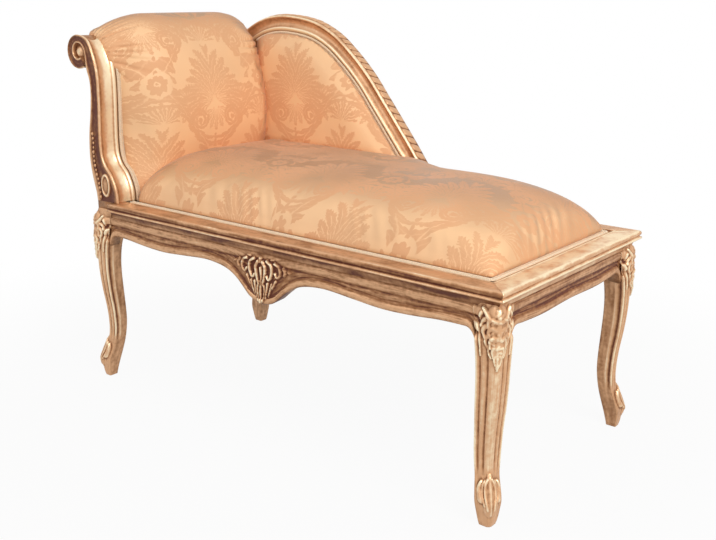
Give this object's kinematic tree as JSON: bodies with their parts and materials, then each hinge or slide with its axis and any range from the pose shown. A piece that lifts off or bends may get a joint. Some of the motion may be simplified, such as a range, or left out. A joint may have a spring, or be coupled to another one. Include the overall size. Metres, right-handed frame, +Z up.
{
  "type": "recamier",
  "caption": "Small upholstered recamier with cabriole legs, shaped apron, scrolled head with rolled pad and a swooping moulded back rail.",
  "frame": {"origin": "on the floor, under the middle of the part's overall length and depth", "axes": "+X towards the low foot end, +Y towards the swooping back, +Z up"},
  "size_m": [1.101, 0.529, 0.8093],
  "materials": {
    "gilt_wood": "rubbed gold leaf over red-brown ground",
    "raw_wood": "bare beech",
    "damask": "satin damask",
    "braid": "woven gimp",
    "jute": "plain weave",
    "cambric": "plain weave",
    "screw_steel": "plain"
  },
  "bodies": {
    "root": {"leg_foot_front": "gilt_wood", "leg_foot_rear": "gilt_wood", "leg_head_front": "gilt_wood", "leg_head_rear": "gilt_wood", "corner_brace_foot_front": "raw_wood", "corner_brace_foot_rear": "raw_wood", "corner_brace_head_front": "raw_wood", "corner_brace_head_rear": "raw_wood", "corner_brace_screws": "screw_steel", "rail_front": "gilt_wood", "rail_rear": "gilt_wood", "rail_foot": "gilt_wood", "rail_head": "gilt_wood", "moulding_front": "gilt_wood", "moulding_rear": "gilt_wood", "moulding_foot": "gilt_wood", "scroll_post_front": "gilt_wood", "scroll_post_rear": "gilt_wood", "head_top_rail": "raw_wood", "head_bottom_rail": "raw_wood", "head_webbing": "jute", "head_pad": "damask", "head_outside_panel": "damask", "head_gimp_front": "braid", "head_gimp_rear": "braid", "back_swoop_rail": "gilt_wood", "back_bottom_rail": "raw_wood", "back_webbing": "jute", "back_pad": "damask", "back_gimp": "braid", "back_outside_panel": "damask", "seat_webbing_long": "jute", "seat_webbing_cross": "jute", "seat_hessian": "jute", "seat_pad": "damask", "seat_gimp": "braid", "dust_cloth": "cambric"}
  },
  "joints": []
}
